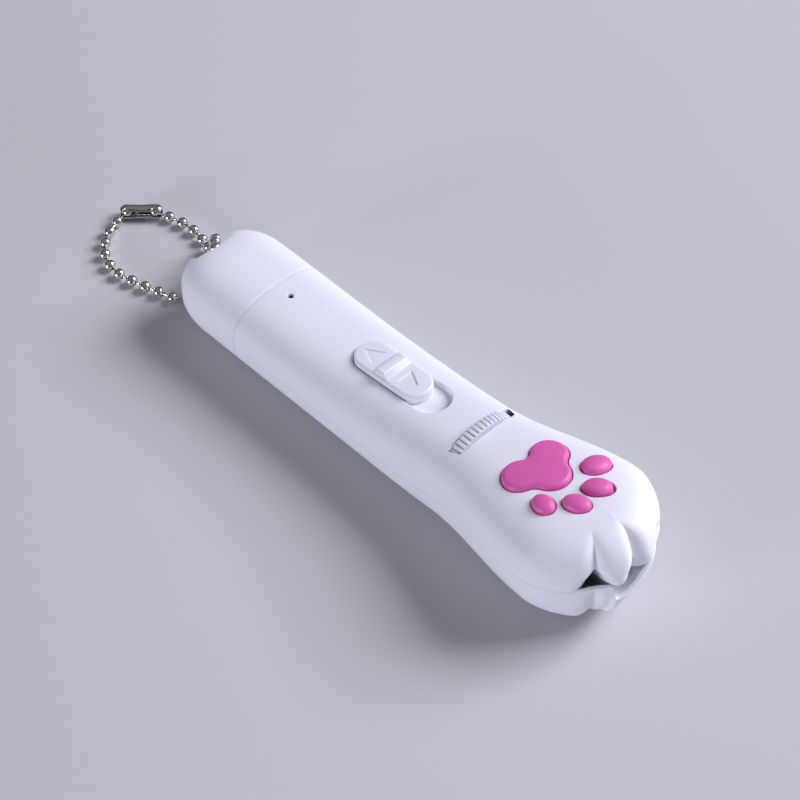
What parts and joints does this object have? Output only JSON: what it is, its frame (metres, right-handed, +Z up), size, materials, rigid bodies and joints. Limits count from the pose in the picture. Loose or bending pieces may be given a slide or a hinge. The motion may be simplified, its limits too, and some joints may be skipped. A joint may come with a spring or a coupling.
{
  "type": "cat laser pointer",
  "caption": "Paw-shaped hand light for playing with cats: slide switch, pattern thumbwheel, soft pads, plug under a pull-off cap on a ball chain.",
  "frame": {"origin": "middle of the casing's length, on its flat underside", "axes": "+X towards the toes, +Z up from the surface it lies on, +Y to the left of the toes"},
  "size_m": [0.1565, 0.0344, 0.027],
  "materials": {
    "casing_white": "satin moulded ABS, white",
    "button_white": "satin moulded ABS, white",
    "pad_pink": "soft matt silicone, pink",
    "chain_steel": "nickel-plated steel, bright",
    "pin_steel": "drawn steel wire",
    "plug_steel": "nickel-plated sheet steel",
    "contact_gold": "gold-plated contacts",
    "tongue_white": "moulded plastic",
    "laser_brass": "turned brass",
    "lens_clear": "clear moulded lens",
    "lamp_clear": "clear epoxy lamp",
    "lamp_violet": "violet-tinted epoxy lamp",
    "holder_grey": "dark moulded plastic",
    "disc_black": "black printed film on plastic",
    "board_green": "glass-fibre board with green mask",
    "cell_blue": "shrink sleeve over a lithium cell",
    "switch_steel": "folded tin-plated steel",
    "lever_black": "black nylon",
    "spring_bronze": "phosphor bronze strip",
    "lamp_red": "surface-mount lamp",
    "pipe_clear": "clear acrylic"
  },
  "bodies": {
    "handle": {"top_shell": "casing_white", "bottom_shell": "casing_white", "switch_case": "switch_steel", "detent_spring": "spring_bronze", "main_pad": "pad_pink", "toe_pads": "pad_pink", "laser_barrel": "laser_brass", "laser_lens": "lens_clear", "laser_diode": "switch_steel", "lamp_holder": "holder_grey", "white_lamp": "lamp_clear", "violet_lamp": "lamp_violet", "circuit_board": "board_green", "board_screws": "pin_steel", "battery_cell": "cell_blue", "plug_shell": "plug_steel", "plug_tongue": "tongue_white", "plug_contacts": "contact_gold", "charge_lamp": "lamp_red", "light_pipe": "pipe_clear"},
    "slider": {"slide_button": "button_white", "switch_lever": "lever_black"},
    "wheel": {"pattern_wheel": "button_white", "wheel_axle": "pin_steel", "pattern_disc": "disc_black"},
    "cap": {"rear_cap": "casing_white", "chain_pin": "pin_steel"},
    "chain": {"chain_balls": "chain_steel", "chain_links": "chain_steel", "chain_clasp": "chain_steel"}
  },
  "joints": [
    {"name": "switch_slide", "type": "slide", "parent": "handle", "child": "slider", "axis": [0.9961, 0, 0.0885], "range_m": [0, 0.005]},
    {"name": "wheel_spin", "type": "hinge", "parent": "handle", "child": "wheel", "pos_m": [0.0196, 0, 0.01291], "axis": [1, 0, 0], "continuous": true},
    {"name": "cap_pull", "type": "slide", "parent": "handle", "child": "cap", "axis": [-1, 0, 0], "range_m": [0, 0.025]},
    {"name": "chain_swing", "type": "hinge", "parent": "cap", "child": "chain", "pos_m": [-0.0606, 0, 0.0088], "axis": [0, 1, 0], "range_deg": [0, 70]}
  ]
}
